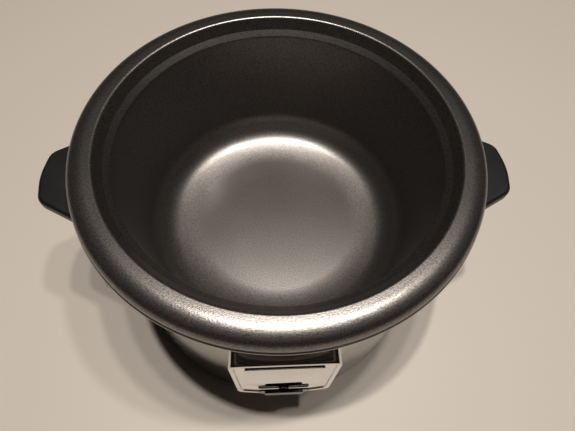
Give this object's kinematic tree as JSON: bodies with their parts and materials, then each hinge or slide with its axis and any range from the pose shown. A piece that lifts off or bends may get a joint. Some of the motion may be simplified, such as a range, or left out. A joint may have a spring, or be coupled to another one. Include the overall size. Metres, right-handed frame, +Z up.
{
  "type": "round slow cooker",
  "caption": "Round slow cooker with a lift-out metal pot, flared steel casing, side handles and a rotary selector.",
  "frame": {"origin": "on the counter, under the centre of the base", "axes": "+Z up along the pot's axis, -Y out of the control bezel, +X towards the right handle"},
  "size_m": [0.3722, 0.3073, 0.2089],
  "materials": {
    "casing_steel": "polished",
    "collar_plastic": "satin",
    "liner_steel": "dull",
    "heater_mica": "matt",
    "plated_steel": "zinc plated",
    "glass_felt": "needled",
    "brass_fitting": "plain",
    "black_plastic": "fine spark",
    "foot_rubber": "matt",
    "bezel_chrome": "bright plated",
    "switch_plastic": "moulded",
    "knob_plastic": "gloss",
    "wire_brown": "silicone",
    "wire_blue": "silicone",
    "wire_green": "silicone",
    "pot_nonstick": "dark satin non-stick"
  },
  "bodies": {
    "base": {"outer_casing": "casing_steel", "casing_collar": "collar_plastic", "heating_well": "liner_steel", "heater_band": "heater_mica", "heater_strap": "plated_steel", "strap_screw": "plated_steel", "insulation_wrap": "glass_felt", "heater_tabs": "plated_steel", "heat_reflector": "liner_steel", "reflector_spacer": "plated_steel", "tie_stud": "plated_steel", "tie_nut": "plated_steel", "thermal_fuse": "brass_fitting", "fuse_clip": "plated_steel", "base_tray": "black_plastic", "foot_front_left": "foot_rubber", "foot_front_right": "foot_rubber", "foot_rear_left": "foot_rubber", "foot_rear_right": "foot_rubber", "handle_left": "black_plastic", "handle_right": "black_plastic", "handle_screws_left": "plated_steel", "handle_screws_right": "plated_steel", "handle_plate_left": "plated_steel", "handle_plate_right": "plated_steel", "control_bezel": "bezel_chrome", "bezel_panel": "bezel_chrome", "bezel_screws": "plated_steel", "rotary_switch": "switch_plastic", "switch_bracket": "plated_steel", "bush_nut": "plated_steel", "cord_gland": "black_plastic", "gland_nut": "black_plastic", "terminal_block": "switch_plastic", "earth_screw": "brass_fitting", "wire_live": "wire_brown", "wire_switched": "wire_brown", "wire_fused": "wire_brown", "wire_neutral": "wire_blue", "wire_earth": "wire_green"},
    "knob": {"switch_shaft": "plated_steel", "knob_skirt": "bezel_chrome", "knob_grip": "knob_plastic"},
    "pot": {"cooking_pot": "pot_nonstick"}
  },
  "joints": [
    {"name": "pot_lift", "type": "slide", "parent": "base", "child": "pot", "axis": [0, 0, 1], "range_m": [0, 0.16]},
    {"name": "knob_turn", "type": "hinge", "parent": "base", "child": "knob", "pos_m": [0, -0.13665, 0.0695], "axis": [0, -0.9977, 0.0683], "range_deg": [-180, 0]}
  ]
}
